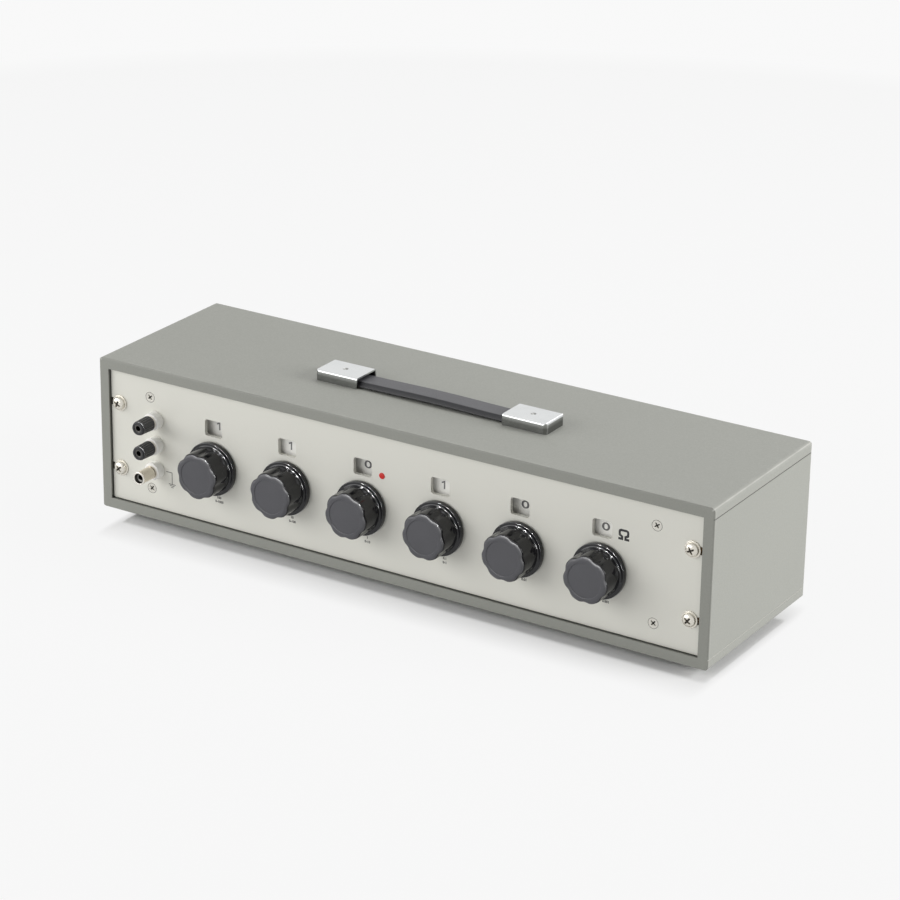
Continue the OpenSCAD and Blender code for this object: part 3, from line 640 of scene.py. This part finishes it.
for i, (x, z) in enumerate(shaftAt):
    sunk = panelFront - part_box("dial_%d" % (i + 1))[0].y
    marks = []
    for number in range(11):
        around = dialCut["step"] * (number - dialCut["reading"][i])
        spot = onPanel(x, z, sunk + printLift, around) @ Matrix.Translation((0, dialCut["radius"] * mm, 0))
        one, nought = dialCut["pair"] if number == 10 else (0.0, 0.0)
        if number in (1, 10):
            place = spot @ Matrix.Translation((one * mm, 0, 0))
            marks.append((stroke(dialCut["one"], dialCut["oneLine"]), place))
        if number != 1:
            wide = dialCut["wide"] * (dialCut["tight"] if number == 10 else 1.0)
            place = spot @ Matrix.Translation((nought * mm, 0, 0))
            marks.append((figures(str(number % 10), dialCut["figure"], dialCut["bold"], wide), place))
    carry(printed("dialFigures%d" % (i + 1), marks, figureFinish), "selector_%d" % (i + 1), "dial_white")
print("dial figures printed")


# panel marks: unit sign, plain numbers under the knobs, earth sign and decimal point

markCut = {"point": (-8.1, 84.3), "pointSize": 4.6, "unit": (181.3, 86.6), "unitLine": 1.65,
           "unitHalf": ((-4.1, -3.2), (-1.25, -3.2), (-1.25, -1.5), (-3.1, -0.5), (-3.2, 1.7), (-2.9, 2.6),
                        (-2.0, 3.0)),
           "steps": ("100", "10", "1", "0.1", "0.01", "0.001"), "spans": ("0-1000", "0-100", "0-10", "0-1"),
           "valueHeight": 1.9, "valueBold": 0.035, "stepDrop": 22.2, "spanDrop": 25.3, "valueShift": 4.2,
           "line": 0.5, "earth": (8.0, 5.2, 9.0), "earthStop": 0.3, "earthBars": (3.0, 1.0, 1.2)}

unitPath = markCut["unitHalf"] + tuple((-x, z) for x, z in markCut["unitHalf"][::-1])
unitX, unitZ = (v * mm for v in markCut["unit"])
marks = [(stroke(unitPath, markCut["unitLine"]), onPanel(unitX, unitZ, printLift))]
for drop, values in ((markCut["stepDrop"], markCut["steps"]), (markCut["spanDrop"], markCut["spans"])):
    for (x, z), value in zip(shaftAt, values):
        place = onPanel(x + markCut["valueShift"] * mm, z - drop * mm, printLift)
        marks.append((figures(value, markCut["valueHeight"], markCut["valueBold"]), place))
start, run, drop = markCut["earth"]
half, shrink, gap = markCut["earthBars"]
corner = start + run
signs = [[(start, 0), (corner, 0), (corner, -drop + markCut["earthStop"])]]
for k in range(3):
    reach, down = half - shrink * k, -drop - gap * k
    signs.append([(corner - reach, down), (corner + reach, down)])
marks += [(stroke(sign, markCut["line"]), onPanel(*terminalAt["earth"], printLift)) for sign in signs]
carry(printed("panelMarks", marks, inkFinish), "case", "panel_paint")

r = markCut["pointSize"] / 2
dome = [(0, 0), (r, 0)] + arc(r - 0.25, 0.1, 0.25, 0, 80, 4) + [(r * 0.5, 0.42), (0, 0.46)]
point = dress(linkPiece("decimalPoint", turned("decimalPoint", dome, 40)), redFinish)
smooth(point.data, 50)
point.data.transform(onPanel(*(v * mm for v in markCut["point"])))
carry(point, "case", "panel_paint")
print("panel marked")


# screws: one turned head with a cross recess, set on every screw place

screwCut = {
    "rack": {"head": 5.0, "rise": 3.2, "shank": 2.5, "length": 12, "cross": 2.7, "arm": 0.66, "deep": 1.7,
             "dome": 3.0, "shadeRing": 0.0, "turns": (40, 64, 52, 28)},
    "frame": {"head": 3.9, "rise": 0.0, "shank": 2.0, "length": 9, "cross": 2.1, "arm": 0.5, "deep": 1.5,
              "dome": 2.0, "shadeRing": 0.28, "turns": (48, 40, 50, 34), "inset": 4.0},
    "back": {"head": 3.0, "rise": 2.0, "shank": 1.5, "length": 15, "cross": 1.7, "arm": 0.55, "deep": 1.2,
             "dome": 3.0, "shadeRing": 0.0}}
recessCut = {"taper": 0.3, "armEdge": 0.22, "endEdge": 0.3, "slope": 0.45, "dark": 0.45}
washerCut = {"outer": 6.0, "bore": 2.6, "thick": 1.0, "round": 0.25}


def unit(value):
    return min(1.0, max(0.0, value))


def screwMesh(name, cut, rings=30, steps=96):
    head, rise, shank, length, reach = (cut[k] for k in ("head", "rise", "shank", "length", "cross"))
    points, sunk = [(0, 0, (rise - cut["deep"]) * mm)], [True]
    for j in range(1, rings + 1):
        r = head * j / rings
        for k in range(steps):
            a = 2 * math.pi * k / steps
            x, y = r * math.cos(a), r * math.sin(a)
            z = rise * max(0.0, 1 - (r / head) ** cut["dome"]) ** 0.5
            along, side = max(abs(x), abs(y)), min(abs(x), abs(y))
            half = cut["arm"] * (1 - recessCut["taper"] * along / reach)
            wall = unit((half - side) / recessCut["armEdge"] + 0.5)
            wall *= unit((reach - along) / recessCut["endEdge"] + 0.5)
            z -= wall * cut["deep"] * (1 - recessCut["slope"] * along / reach)
            points.append((x * mm, y * mm, z * mm))
            # painted shade: faces deep in the cross, and a ring at a flat head's edge, get the dark recess
            # finish
            sunk.append(wall > recessCut["dark"] or r > head - cut["shadeRing"])
    faces = [(0, 1 + k, 1 + (k + 1) % steps) for k in range(steps)]
    for j in range(rings - 1):
        a, b = 1 + steps * j, 1 + steps * (j + 1)
        for k in range(steps):
            n = (k + 1) % steps
            faces.append((a + k, b + k, b + n, a + n))
    # under the head: flat on a pan head, a cone on a flat one
    under = [(head, -0.02), (shank, -0.02)] if rise > 0 else [(head, -0.15), (shank, shank - head - 0.1)]
    last = list(range(1 + steps * (rings - 1), 1 + steps * rings))
    for r, z in under + [(shank, -length)]:
        ring = [len(points) + k for k in range(steps)]
        points += ringPoints(r, z, steps)
        faces += [(last[k], ring[k], ring[(k + 1) % steps], last[(k + 1) % steps]) for k in range(steps)]
        last = ring
    points.append((0, 0, -length * mm))
    faces += [(last[k], len(points) - 1, last[(k + 1) % steps]) for k in range(steps)]
    mesh = bpy.data.meshes.new(name)
    mesh.from_pydata(points, [], faces)
    mesh.update()
    sunk += [False] * (len(points) - len(sunk))
    shadedFaces = [all(sunk[k] for k in p.vertices) for p in mesh.polygons]
    mesh.attributes.new("recess", "BOOLEAN", "FACE").data.foreach_set("value", shadedFaces)
    smooth(mesh, 40)
    return mesh


def setTree():
    # sets a copy of one piece on every point, turned as the point says
    tree, into = newTree("setOnPoints", {"Geometry": "Geometry", "Piece": "Object", "Finish": "Material",
                                         "Recess shade finish": "Material"})
    shape = put(tree, "GeometryNodeObjectInfo", {"Object": into["Piece"]}).outputs["Geometry"]
    turn = put(tree, "FunctionNodeEulerToRotation", {0: stored(tree, "facing", "FLOAT_VECTOR")}).outputs[0]
    copies = put(tree, "GeometryNodeInstanceOnPoints",
                 {"Points": into["Geometry"], "Instance": shape, "Rotation": turn}).outputs[0]
    solid = put(tree, "GeometryNodeRealizeInstances", {0: copies}).outputs[0]
    body = coated(tree, solid, into["Finish"])
    recess = coated(tree, body, into["Recess shade finish"], stored(tree, "recess", "BOOLEAN"))
    put(tree, "NodeGroupOutput", {0: recess})
    return tree


setOnPoints = setTree()


def setCopies(name, mesh, places, finish, recess=None):
    template = linkPiece(name + "Template", mesh)
    spots = bpy.data.meshes.new(name)
    spots.from_pydata([p.to_translation() for p in places], [], [])
    facing = spots.attributes.new("facing", "FLOAT_VECTOR", "POINT")
    facing.data.foreach_set("vector", [c for p in places for c in p.to_euler()])
    piece = runTree(linkPiece(name, spots), setOnPoints,
                    {"Piece": template, "Finish": finish, "Recess shade finish": recess or recessShadeFinish})
    bpy.data.objects.remove(template)
    return piece


def corners(node, inset):
    # the four middles of a node that holds one piece in each corner of the panel
    low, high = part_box(node)
    inset *= mm
    return [(x, z) for x in (low.x + inset, high.x - inset) for z in (low.z + inset, high.z - inset)]


outer, bore, thick, soft = (washerCut[k] for k in ("outer", "bore", "thick", "round"))
washer = arc(outer - soft, thick - soft, soft, 0, 90, 4) + [(bore, thick), (bore, 0.0), (outer - 0.05, 0.0)]
washerMesh = turned("washer", washer[::-1], 64, closed=True)
smooth(washerMesh, 35)
rackAt = corners("rack_washers", outer)
carry(setCopies("rackWashers", washerMesh, [onPanel(x, z) for x, z in rackAt], rackFinish),
      "case", "nickel", "rack_washers")
places = [onPanel(x, z, thick * mm, turn) for (x, z), turn in zip(rackAt, screwCut["rack"]["turns"])]
carry(setCopies("rackScrews", screwMesh("rackScrew", screwCut["rack"]), places, rackFinish, crossShadeFinish),
      "case", "nickel", "rack_screws")
frameAt = corners("frame_screws", screwCut["frame"]["inset"])
places = [onPanel(x, z, 0.0, turn) for (x, z), turn in zip(frameAt, screwCut["frame"]["turns"])]
carry(setCopies("frameScrews", screwMesh("frameScrew", screwCut["frame"]), places, dullFinish),
      "case", "nickel", "frame_screws")
backLow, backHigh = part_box("back_screws")
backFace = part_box("back_board")[1].y
inset = screwCut["back"]["head"] * mm
places = []
for x in (backLow.x + inset, backHigh.x - inset):
    for k in range(3):
        z = backLow.z + inset + (backHigh.z - backLow.z - 2 * inset) * k / 2
        turn = Matrix.Rotation(math.radians(-90), 4, "X") @ Matrix.Rotation(0.6 * k + x, 4, "Z")
        places.append(Matrix.Translation((x, backFace, z)) @ turn)
carry(setCopies("backScrews", screwMesh("backScrew", screwCut["back"], 20, 64), places, finishes["nickel"]),
      "case", "nickel", "back_screws")
print("screws set:", len(rackAt) + len(frameAt) + len(places))


# terminals: insulating bases, fluted grips and a turned metal one

terminalCut = {"base": 6.5, "baseLong": 7.0, "neck": 4.5, "neckBack": -3.0, "stud": 3.0, "capBack": 8.6,
               "capFront": 21.1, "lipFront": 22.0, "lipThick": 0.6, "tube": 4.03, "sleeve": 4.0, "bore": 3.03,
               "socket": 2.0, "socketBack": 13.65, "steps": 216, "coarseSteps": 72}
blackGrip = {"slot": "terminal_black", "finish": finishes["terminal_black"], "wide": 5.5, "nose": 5.25,
             "ribs": 18, "deep": 0.4, "lip": 4.7, "mouth": 2.95, "sunk": 0.5}
metalGrip = {"slot": "nickel", "finish": earthFinish, "wide": 4.6, "nose": 4.5,
             "ribs": 36, "deep": 0.14, "lip": 4.85, "mouth": 3.75, "sunk": 0.0}


def baseMesh(cut):
    base, long, stud, neck, back = (cut[k] for k in ("base", "baseLong", "stud", "neck", "neckBack"))
    rows = [(stud, back), (neck, back), (neck, 0), (base - 0.3, 0)]
    rows += arc(base - 0.3, 0.3, 0.3, -90, 0, 3) + arc(base - 0.8, long - 0.8, 0.8, 0, 90, 6) + [(stud, long)]
    mesh = turned("terminalBase", rows, cut["coarseSteps"], closed=True)
    smooth(mesh, 40)
    return mesh


def capProfile(cut, r, nose):
    back, front, tube = cut["capBack"], cut["capFront"], cut["tube"]
    rows = [(tube, back, 0)] + [(a, b, 0) for a, b in arc(r - 0.4, back + 0.4, 0.4, -90, 0, 4)]
    rows += [(r, back + 0.7 + 0.25 * k, k / 4) for k in range(5)]
    rows += [(r + (nose - r) * k / 6, back + 1.7 + (front - back - 3.6) * k / 6, 1) for k in range(1, 7)]
    rows += [(nose, front - 1.7 + 0.2 * k, 1 - k / 4) for k in range(5)]
    rows += [(a, b, 0) for a, b in arc(nose - 0.7, front - 0.7, 0.7, 0, 90, 6)]
    rows += [(tube, front, 0), (tube, back + 0.001, 0)]
    return [(a, b, c, False) for a, b, c in rows]


def sleeveProfile(cut, lip, mouth, sunk):
    # tube with a bore for the stud behind, a lip in front and a ring or a cone inside the mouth, whose inside
    # rows take a darker metal as painted shade
    back, front, bore, tube, socket = (cut[k] for k in ("capBack", "lipFront", "bore", "sleeve", "socket"))
    under = front - cut["lipThick"]
    outside = [(bore, back), (tube, back), (tube, under), (lip - 0.1, under)]
    outside += arc(lip - 0.35, front - 0.35, 0.35, -20, 90, 6)
    outside += arc(mouth + 0.2, front - 0.2, 0.2, 90, 170, 3)
    if sunk:
        floor = front - sunk
        outside.append((mouth, floor))
        inside = [(mouth - 0.001, floor - 0.001), (2.25, floor), (socket, floor - 0.25)]
    else:
        inside = [(mouth - 0.001, front - 0.3), (2.9, front - 2.2), (socket, front - 2.6)]
    inside += [(socket, cut["socketBack"]), (bore, cut["socketBack"]), (bore, back + 0.001)]
    return [(r, z, 0, False) for r, z in outside] + [(r, z, 0, True) for r, z in inside]


places = [onPanel(*terminalAt[n]) for n in ("high", "low", "earth")]
carry(setCopies("terminalBases", baseMesh(terminalCut), places, finishes["white_insulator"]),
      "case", "white_insulator", "terminal_bases")
for name, kind in (("high", blackGrip), ("low", blackGrip), ("earth", metalGrip)):
    grip = gripPiece(name + "Grip", capProfile(terminalCut, kind["wide"], kind["nose"]), terminalCut["steps"],
                     kind["finish"], None, kind["ribs"], kind["deep"])
    grip.data.transform(onPanel(*terminalAt[name]))
    carry(grip, name + "_grip", kind["slot"], name + "_cap")
    if kind is blackGrip:
        blackGloss.append(grip)
    profile = sleeveProfile(terminalCut, kind["lip"], kind["mouth"], kind["sunk"])
    sleeve = gripPiece(name + "Sleeve", profile, terminalCut["coarseSteps"], finishes[kind["slot"]],
                       mouthShadeFinish)
    sleeve.data.transform(onPanel(*terminalAt[name]))
    carry(sleeve, name + "_sleeve", "nickel", name + "_socket")
print("terminals made")


# strap: moulded vinyl, bowed up a little between its ends, with a slot round each peg

strapLow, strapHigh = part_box("carry_strap")
strapCut = {"bow": 0.7, "bowReach": 0.62, "edge": 0.9, "foot": 0.35, "flat": 0.36, "corner": 0.8,
            "slices": 96, "slot": 3.4, "slotTravel": 1.0, "slotPast": 2.0}


def strapPiece(cut):
    wide, thick = (strapHigh.y - strapLow.y) / mm, (strapHigh.z - strapLow.z) / mm
    middle = (strapLow + strapHigh) / 2
    half, flat, soft, foot = wide / 2, wide * cut["flat"], cut["corner"], cut["foot"]
    slope = math.degrees(math.atan2(thick - cut["edge"], half - flat))
    upper = arc(half - foot, foot, foot, -90, 0, 3)
    upper += [(half, cut["edge"] - 0.2), (half - 0.12, cut["edge"] + 0.05)]
    upper += arc(flat - soft * 0.3, thick - soft, soft, 90 - slope, 90, 5)
    section = upper + [(flat * 0.4, thick), (-flat * 0.4, thick)] + [(-y, z) for y, z in upper[::-1]]
    points, faces = [], []
    count, slices = len(section), cut["slices"]
    for j in range(slices + 1):
        t = -1 + 2 * j / slices
        x = middle.x + t * (strapHigh.x - strapLow.x) / 2
        lift = cut["bow"] * max(0.0, 1 - (t / cut["bowReach"]) ** 2) ** 2
        points += [(x, middle.y + y * mm, strapLow.z + (z + lift) * mm) for y, z in section]
    for j in range(slices):
        a, b = j * count, (j + 1) * count
        for k in range(count):
            n = (k + 1) % count
            faces.append((a + k, b + k, b + n, a + n))
    faces.append(tuple(range(count)))
    faces.append(tuple(range(slices * count, slices * count + count))[::-1])
    mesh = bpy.data.meshes.new("carryStrap")
    mesh.from_pydata(points, [], faces)
    work = bmesh.new()
    work.from_mesh(mesh)
    bmesh.ops.recalc_face_normals(work, faces=work.faces)
    work.to_mesh(mesh)
    work.free()
    piece = linkPiece("carryStrap", mesh)
    capLow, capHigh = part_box("handle_caps")
    endHalf = capFinish["long"] * mm / 2
    past = cut["slotPast"] * mm
    bottom, top = (Vector((0, 0, z)) for z in (strapLow.z - past, strapHigh.z + past))
    tools = []
    for x in (capLow.x + endHalf, capHigh.x - endHalf):
        rim = []
        for side, start in ((1, -90), (-1, 90)):
            rim += arc(side * cut["slotTravel"], 0, cut["slot"], start, start + 180, 16)
        base = [Vector((x + a * mm, middle.y + b * mm, 0)) for a, b in rim]
        size = len(base)
        walls = [(a, (a + 1) % size, size + (a + 1) % size, size + a) for a in range(size)]
        lids = [tuple(range(size))[::-1], tuple(range(size, 2 * size))]
        cutter = bpy.data.meshes.new("slotCut")
        cutter.from_pydata([p + bottom for p in base] + [p + top for p in base], [], walls + lids)
        tools.append(linkPiece("slotCut", cutter))
        trim = piece.modifiers.new("slot", "BOOLEAN")
        trim.operation = "DIFFERENCE"
        trim.object = tools[-1]
    settle(piece)
    for tool in tools:
        bpy.data.objects.remove(tool)
    smooth(piece.data, 28)
    return dress(piece, finishes["strap_vinyl"])


carry(strapPiece(strapCut), "strap", "strap_vinyl", "carry_strap")
print("strap laid")


# floor, lamps and surroundings

stageSet = {"floor": (243, 243, 243), "floorSize": 9.0, "edgeReach": (0.003, 0.007), "edgeGlow": 0.4,
            "fade": (5.0, 1.0), "clear": (0.022, 0.034), "nearReach": (0.002, 0.037), "nearGlow": 0.93,
            "farReach": (0.4, 1.4), "room": 0.945, "bounce": 0.76, "ambient": 0.2,
            # name, place, aim, width, height and power
            "lamps": (("overhead", (0.05, 0.75, 1.4), (0, 0, 0.1), 1.3, 1.3, 8.5),
                      ("rightSide", (2.3, 0.7, 0.9), (0.2, 0, 0.05), 1.2, 1.2, 46.0),
                      ("leftFront", (-1.3, -1.2, 0.75), (-0.15, 0, 0.05), 2.4, 1.2, 27.5)),
            "glints": (("glintLeft", (-0.7, -1.3, 2.0), (0, 0, 0.06), 0.26, 0.26, 125.0),
                       ("glintMiddle", (0.3, -1.35, 2.1), (0, 0, 0.06), 0.26, 0.26, 125.0),
                       ("glintRight", (1.25, -1.3, 1.8), (0, 0, 0.06), 0.26, 0.26, 125.0),
                       ("glintSide", (1.95, -1.3, 0.2), (0, 0, 0.06), 0.16, 1.0, 60.0),
                       ("glintBack", (-2.1, 0.9, 0.5), (0, 0, 0.06), 0.3, 1.0, 60.0))}
white = (1, 1, 1, 1)


def shown(tree):
    # 1 for what the camera sees straight or in a gloss, 0 for the light that falls on the object
    path = put(tree, "ShaderNodeLightPath").outputs
    mirrored = math2(tree, "MAXIMUM", path["Is Glossy Ray"], path["Is Transmission Ray"])
    return math2(tree, "MAXIMUM", path["Is Camera Ray"], mirrored)


def layFloor(cut):
    # white board that keeps the shadow under and beside the case and fades into the room
    size = cut["floorSize"] / 2
    mesh = bpy.data.meshes.new("floor")
    rim = [(-size, -size, 0), (size, -size, 0), (size, size, 0), (-size, size, 0)]
    mesh.from_pydata(rim, [], [(0, 1, 2, 3)])
    material = bpy.data.materials.new("paleFloor")
    material.use_nodes = True
    tree = material.node_tree
    tree.nodes.clear()
    place = put(tree, "ShaderNodeTexCoord").outputs["Object"]
    axes = axesOf(tree, place)
    low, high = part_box("bottom_board")
    low.x += cut["clear"][0]  # no shadow past the left end and little at the back
    high.y -= cut["clear"][1]
    gaps = []
    for k in (0, 1):
        middle, half = (low[k] + high[k]) / 2, (high[k] - low[k]) / 2
        off = math2(tree, "ABSOLUTE", math2(tree, "SUBTRACT", axes[k], middle))
        gap = math2(tree, "MAXIMUM", math2(tree, "SUBTRACT", off, half), 0.0)
        gaps.append(math2(tree, "MULTIPLY", gap, cut["fade"][k]))
    beside = fromAxis(tree, *gaps)
    edge = spread(tree, beside, *cut["edgeReach"], 0.0, cut["edgeGlow"])
    near = spread(tree, beside, *cut["nearReach"], 0.0, cut["nearGlow"] - cut["edgeGlow"])
    away = put(tree, "ShaderNodeVectorMath", {0: place}, operation="LENGTH").outputs["Value"]
    far = spread(tree, away, *cut["farReach"])
    share = math2(tree, "MAXIMUM", math2(tree, "ADD", edge, near), far)
    cloud = noise(tree, place, 5, 3.0)
    color = between(tree, cloud, tint(*cut["floor"], 0.995), tint(*cut["floor"], 1.005))
    board = put(tree, "ShaderNodeBsdfDiffuse", {"Color": color}).outputs[0]
    strength = spread(tree, shown(tree), 0.0, 1.0, cut["bounce"], cut["room"])
    glow = put(tree, "ShaderNodeEmission", {"Color": white, "Strength": strength}).outputs[0]
    mixed = put(tree, "ShaderNodeMixShader", {0: share, 1: board, 2: glow}).outputs[0]
    put(tree, "ShaderNodeOutputMaterial", {0: mixed})
    mesh.materials.append(material)
    linkPiece("floor", mesh)


def lightRoom(cut):
    world = bpy.data.worlds.new("room")
    bpy.context.scene.world = world
    world.use_nodes = True
    tree = world.node_tree
    tree.nodes.clear()
    strength = spread(tree, shown(tree), 0.0, 1.0, cut["ambient"], cut["room"])
    room = put(tree, "ShaderNodeBackground", {"Color": white, "Strength": strength}).outputs[0]
    put(tree, "ShaderNodeOutputWorld", {0: room})
    # the small lamps only glint on the black gloss of the knobs and grips
    glossy = bpy.data.collections.new("blackGloss")
    for piece in blackGloss:
        glossy.objects.link(piece)
    for name, place, aim, wide, tall, power in cut["lamps"] + cut["glints"]:
        data = bpy.data.lights.new(name, "AREA")
        data.shape = "RECTANGLE"
        data.size = wide
        data.size_y = tall
        data.energy = power
        lamp = linkPiece(name, data)
        if name.startswith("glint"):
            lamp.visible_diffuse = False
            lamp.light_linking.receiver_collection = glossy
        lamp.location = place
        lamp.rotation_euler = (Vector(aim) - Vector(place)).to_track_quat("-Z", "Y").to_euler()


layFloor(stageSet)
lightRoom(stageSet)
print("stage lit")
